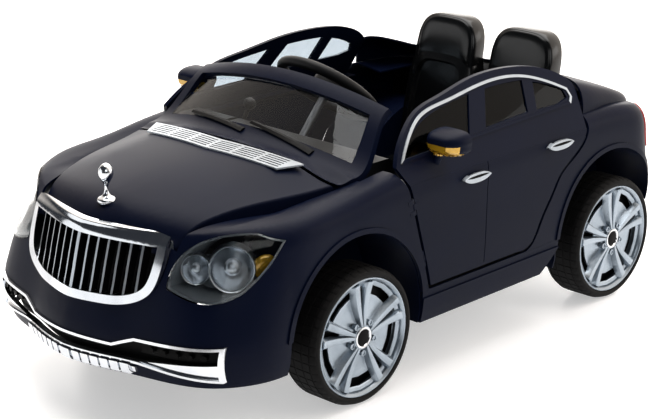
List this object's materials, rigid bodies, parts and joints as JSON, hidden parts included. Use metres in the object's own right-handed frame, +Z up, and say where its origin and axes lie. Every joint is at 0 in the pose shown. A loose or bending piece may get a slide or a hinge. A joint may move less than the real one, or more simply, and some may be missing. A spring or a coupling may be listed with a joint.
{
  "type": "electric ride-on car",
  "caption": "Child's electric ride-on convertible with opening doors, steered front wheels, driven rear wheels, two moulded seats, a pedal, a gear lever and bright grille trim.",
  "frame": {"origin": "on the floor under the middle of the car's box", "axes": "+X towards the car's left side, -Y forwards, +Z up"},
  "size_m": [0.7898, 1.4139, 0.5742],
  "materials": {
    "body": "satin, very dark navy",
    "dark_trim": "matt black",
    "chrome": "bright plated plastic",
    "tyre": "matt black, moulded tread",
    "rim": "silver painted plastic",
    "clear": "clear moulded plastic",
    "tinted": "smoked plastic",
    "red_lamp": "red lens",
    "amber_lamp": "amber lens",
    "seat": "glossy moulded black",
    "inside": "grained black plastic",
    "steel": "bright steel",
    "case": "black plastic case"
  },
  "bodies": {
    "chassis": {"front_body": "body", "rear_body": "body", "side_sills": "body", "hood": "body", "rear_deck": "body", "windscreen_frame": "body", "windscreen_pane": "clear", "wipers": "dark_trim", "hood_vent": "chrome", "hood_ornament": "chrome", "grille_frame": "chrome", "grille_bars": "chrome", "grille_screens": "dark_trim", "headlamp_housings": "dark_trim", "headlamp_reflectors": "chrome", "headlamp_lenses": "clear", "bumper_trim": "chrome", "bumper_teeth": "chrome", "fog_lamps": "dark_trim", "tail_lamps": "red_lamp", "floor_pan": "inside", "dashboard": "inside", "seat_base": "seat", "seat_backs": "seat", "front_axle_beam": "case", "rear_axle": "steel", "gearboxes": "case", "drive_motors": "case", "battery": "case", "control_box": "case", "pedal_bracket": "case", "hinge_pins": "steel"},
    "left_door": {"left_door": "body", "left_window_panes": "tinted", "left_window_trim": "chrome", "left_door_handles": "chrome", "left_mirror": "body", "left_mirror_lamp": "amber_lamp"},
    "left_knuckle": {"left_knuckle": "steel"},
    "front_left_wheel": {"front_left_tyre": "tyre", "front_left_rim": "rim"},
    "rear_left_wheel": {"rear_left_tyre": "tyre", "rear_left_rim": "rim"},
    "right_door": {"right_door": "body", "right_window_panes": "tinted", "right_window_trim": "chrome", "right_door_handles": "chrome", "right_mirror": "body", "right_mirror_lamp": "amber_lamp"},
    "right_knuckle": {"right_knuckle": "steel"},
    "front_right_wheel": {"front_right_tyre": "tyre", "front_right_rim": "rim"},
    "rear_right_wheel": {"rear_right_tyre": "tyre", "rear_right_rim": "rim"},
    "steering": {"steering_wheel": "inside", "steering_column": "steel"},
    "horn": {"horn_button": "inside"},
    "tie_rod": {"tie_rod": "steel"},
    "pedal": {"accelerator_pedal": "inside"},
    "lever": {"gear_lever": "inside"}
  },
  "joints": [
    {"name": "steering_turn", "type": "hinge", "parent": "chassis", "child": "steering", "pos_m": [0, -0.015, 0.495], "axis": [0, 0.6561, 0.7547], "range_deg": [-36, 36]},
    {"name": "horn_press", "type": "slide", "parent": "steering", "child": "horn", "axis": [0, -0.6561, -0.7547], "range_m": [0, 0.003], "stiffness_N_per_m": 600, "springref_m": -0.001},
    {"name": "tie_rod_slide", "type": "slide", "parent": "chassis", "child": "tie_rod", "axis": [1, 0, 0], "range_m": [-0.024, 0.024]},
    {"name": "left_knuckle_turn", "type": "hinge", "parent": "chassis", "child": "left_knuckle", "pos_m": [0.245, -0.281, 0.1325], "axis": [0, 0, 1], "range_deg": [-22, 22]},
    {"name": "front_left_spin", "type": "hinge", "parent": "left_knuckle", "child": "front_left_wheel", "pos_m": [0.31, -0.281, 0.1325], "axis": [1, 0, 0], "continuous": true},
    {"name": "rear_left_spin", "type": "hinge", "parent": "chassis", "child": "rear_left_wheel", "pos_m": [0.31, 0.497, 0.1325], "axis": [1, 0, 0], "continuous": true},
    {"name": "left_door_swing", "type": "hinge", "parent": "chassis", "child": "left_door", "pos_m": [0.347, -0.0995, 0.187], "axis": [0, 0.262, -0.9651], "range_deg": [0, 55]},
    {"name": "right_knuckle_turn", "type": "hinge", "parent": "chassis", "child": "right_knuckle", "pos_m": [-0.245, -0.281, 0.1325], "axis": [0, 0, 1], "range_deg": [-22, 22]},
    {"name": "front_right_spin", "type": "hinge", "parent": "right_knuckle", "child": "front_right_wheel", "pos_m": [-0.31, -0.281, 0.1325], "axis": [1, 0, 0], "continuous": true},
    {"name": "rear_right_spin", "type": "hinge", "parent": "chassis", "child": "rear_right_wheel", "pos_m": [-0.31, 0.497, 0.1325], "axis": [1, 0, 0], "continuous": true},
    {"name": "right_door_swing", "type": "hinge", "parent": "chassis", "child": "right_door", "pos_m": [-0.347, -0.0995, 0.187], "axis": [0, -0.262, 0.9651], "range_deg": [0, 55]},
    {"name": "pedal_press", "type": "hinge", "parent": "chassis", "child": "pedal", "pos_m": [0.11, -0.112, 0.1358], "axis": [1, 0, 0], "range_deg": [0, 14], "stiffness_Nm_per_rad": 1.5, "springref_deg": -5.73},
    {"name": "gear_shift", "type": "hinge", "parent": "chassis", "child": "lever", "pos_m": [-0.15, -0.12752, 0.386], "axis": [1, 0, 0], "range_deg": [-15, 15]}
  ],
  "couplings": [
    {"joint": "left_knuckle_turn", "follows": "steering_turn", "ratio": 0.611},
    {"joint": "right_knuckle_turn", "follows": "steering_turn", "ratio": 0.611},
    {"joint": "tie_rod_slide", "follows": "steering_turn", "m_per_rad": 0.038}
  ]
}
